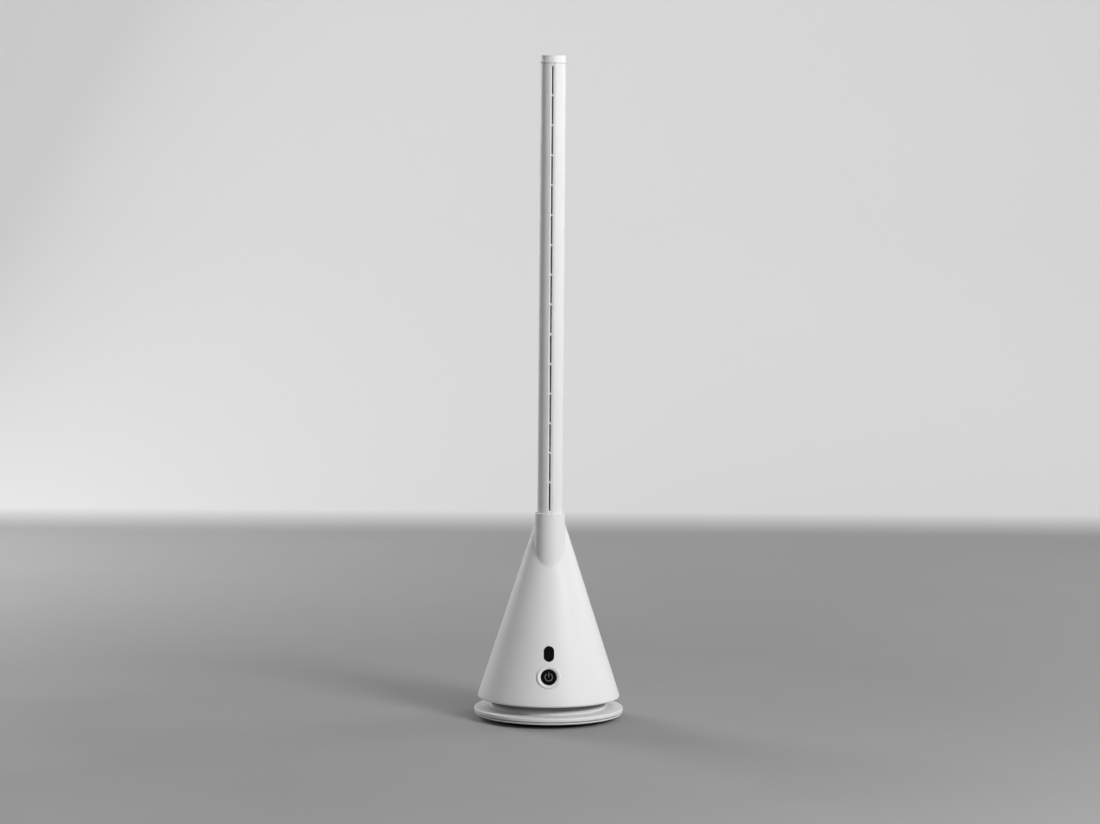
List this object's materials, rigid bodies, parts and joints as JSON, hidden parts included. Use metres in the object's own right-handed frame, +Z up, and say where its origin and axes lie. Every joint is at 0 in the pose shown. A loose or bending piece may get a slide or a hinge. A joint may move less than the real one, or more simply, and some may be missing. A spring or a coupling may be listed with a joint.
{
  "type": "bladeless tower fan",
  "caption": "Conical fan housing that swings on a round base, with a slim standing tube that blows air from a row of slots.",
  "frame": {"origin": "middle of the round base on the floor", "axes": "+Z up along the tube, -Y towards the front with the display, the button and the slots, +X to the right of someone facing the front"},
  "size_m": [0.23, 0.23, 1.02],
  "materials": {
    "white_plastic": "fine satin moulded plastic",
    "inner_plastic": "plain moulded plastic",
    "grey_plastic": "glass-filled plastic",
    "black_plastic": "matte moulded plastic",
    "gloss_black": "polished",
    "gear_plastic": "natural acetal",
    "rubber": "matte",
    "steel": "plain zinc-plated",
    "filter_foam": "open foam",
    "circuit_board": "solder resist"
  },
  "bodies": {
    "base": {"foot_ring": "rubber", "base_plinth": "black_plastic", "base_tray": "white_plastic", "ballast_plate": "steel", "base_top_disc": "white_plastic", "base_neck": "white_plastic", "pivot_spindle": "steel", "thrust_ring": "gear_plastic", "spindle_nut": "steel", "sun_gear": "gear_plastic", "base_screw_1": "steel", "base_screw_2": "steel", "base_screw_3": "steel", "base_screw_4": "steel"},
    "tower": {"tower_floor": "inner_plastic", "cone_housing": "white_plastic", "intake_grille": "white_plastic", "dust_filter": "filter_foam", "power_inlet": "black_plastic", "swing_motor": "steel", "driver_board": "circuit_board", "display_window": "gloss_black", "display_module": "black_plastic", "button_bezel": "white_plastic", "button_switch": "black_plastic", "control_board": "circuit_board", "fan_shroud": "inner_plastic", "diffuser": "inner_plastic", "motor_can": "steel", "duct_adapter": "inner_plastic", "tube_gasket": "rubber", "tube_shell": "white_plastic", "nozzle_strip": "white_plastic", "tube_cap": "white_plastic", "floor_screw_1": "steel", "floor_screw_2": "steel", "floor_screw_3": "steel", "floor_screw_4": "steel"},
    "rotor": {"impeller": "grey_plastic", "motor_shaft": "steel", "impeller_nut": "steel"},
    "pinion": {"swing_pinion": "gear_plastic"},
    "button": {"power_button": "gloss_black"}
  },
  "joints": [
    {"name": "swing", "type": "hinge", "parent": "base", "child": "tower", "pos_m": [0, 0, 0.034], "axis": [0, 0, 1], "range_deg": [-40, 40]},
    {"name": "fan_spin", "type": "hinge", "parent": "tower", "child": "rotor", "pos_m": [0, 0, 0.09], "axis": [0, 0, 1], "continuous": true},
    {"name": "pinion_turn", "type": "hinge", "parent": "tower", "child": "pinion", "pos_m": [0, 0.03515, 0.02], "axis": [0, 0, 1], "range_deg": [-100.5, 100.5]},
    {"name": "button_press", "type": "slide", "parent": "tower", "child": "button", "axis": [0, 0.9514, -0.3079], "range_m": [0, 0.0012], "stiffness_N_per_m": 400, "springref_m": -0.001}
  ],
  "couplings": [
    {"joint": "pinion_turn", "follows": "swing", "ratio": 2.5}
  ]
}
